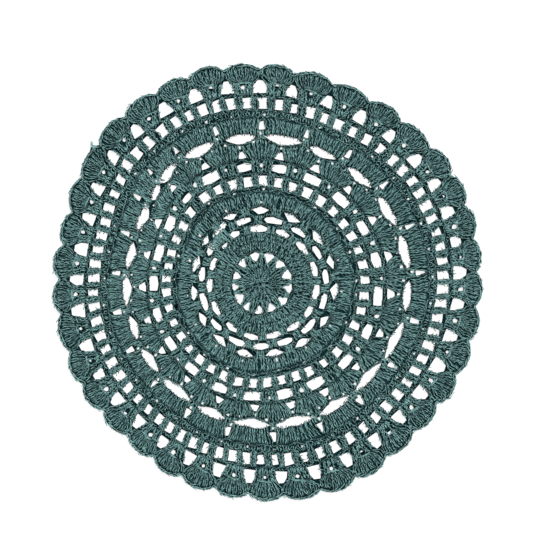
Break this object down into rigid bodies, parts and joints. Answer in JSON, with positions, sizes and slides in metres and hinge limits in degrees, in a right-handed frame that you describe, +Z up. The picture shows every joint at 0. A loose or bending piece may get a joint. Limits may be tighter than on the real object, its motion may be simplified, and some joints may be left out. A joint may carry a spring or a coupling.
{
  "type": "crochet placemat",
  "caption": "Round openwork crochet placemat in dark teal cotton yarn: solid rose, arches, shells and mesh worked in rounds from the centre to a scalloped rim, lying flat.",
  "frame": {"origin": "on the flat underside, at the middle of the first round", "axes": "+Z up out of the face, square to the mat; +X and +Y in its plane, a quarter turn apart"},
  "size_m": [0.3794, 0.3858, 0.0028],
  "materials": {
    "yarn": "twisted cotton yarn, soft low sheen"
  },
  "bodies": {
    "root": {"placemat": "yarn"}
  },
  "joints": []
}
